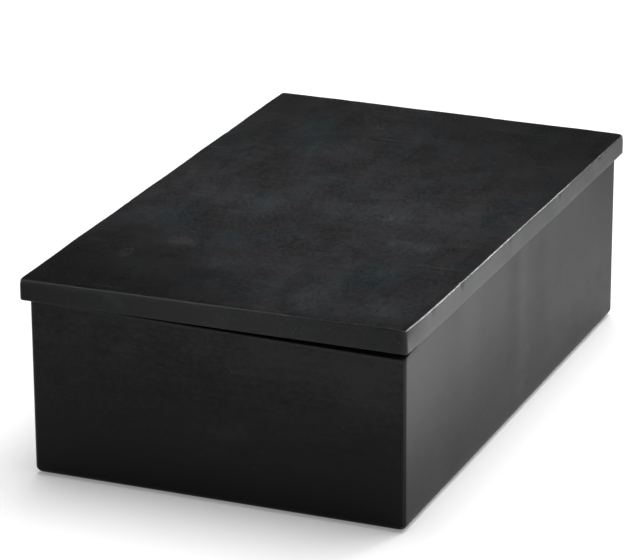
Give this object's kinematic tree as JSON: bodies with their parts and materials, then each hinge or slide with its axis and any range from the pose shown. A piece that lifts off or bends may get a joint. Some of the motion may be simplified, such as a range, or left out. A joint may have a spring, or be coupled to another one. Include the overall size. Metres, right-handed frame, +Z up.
{
  "type": "pin display case",
  "caption": "Low rectangular box of honed black stone with an overhanging lift-off lid, felt-lined, holding a lift-out padded board for enamel pins.",
  "frame": {"origin": "centre of the underside, on the plane of the felt feet", "axes": "+X to the right and +Y to the back, as the front short wall is faced; +Z up"},
  "size_m": [0.1548, 0.2508, 0.08],
  "materials": {
    "stone": "honed and waxed black stone, satin, with faint grey-green clouds",
    "sawn_stone": "sawn and rubbed black stone, matte",
    "felt": "charcoal wool felt",
    "pad_cloth": "slate grey woven cloth",
    "foam": "closed-cell foam",
    "board": "stiff grey-brown board",
    "ribbon": "black grosgrain ribbon"
  },
  "bodies": {
    "case": {"front_wall": "stone", "back_wall": "stone", "left_wall": "stone", "right_wall": "stone", "base_slab": "sawn_stone", "felt_feet": "felt", "base_lining": "felt", "front_lining": "felt", "back_lining": "felt", "left_lining": "felt", "right_lining": "felt"},
    "pin_board": {"board_backing": "board", "board_foam": "foam", "board_cover": "pad_cloth", "front_pull_ribbon": "ribbon", "back_pull_ribbon": "ribbon"},
    "lid": {"lid_slab": "stone", "front_lid_strip": "sawn_stone", "back_lid_strip": "sawn_stone", "left_lid_strip": "sawn_stone", "right_lid_strip": "sawn_stone", "lid_lining": "felt"}
  },
  "joints": [
    {"name": "lid_lift", "type": "slide", "parent": "case", "child": "lid", "axis": [0, 0, 1], "range_m": [0, 0.24]},
    {"name": "board_lift", "type": "slide", "parent": "case", "child": "pin_board", "axis": [0, 0, 1], "range_m": [0, 0.12]}
  ],
  "couplings": [
    {"joint": "board_lift", "follows": "lid_lift", "ratio": 0.5}
  ]
}
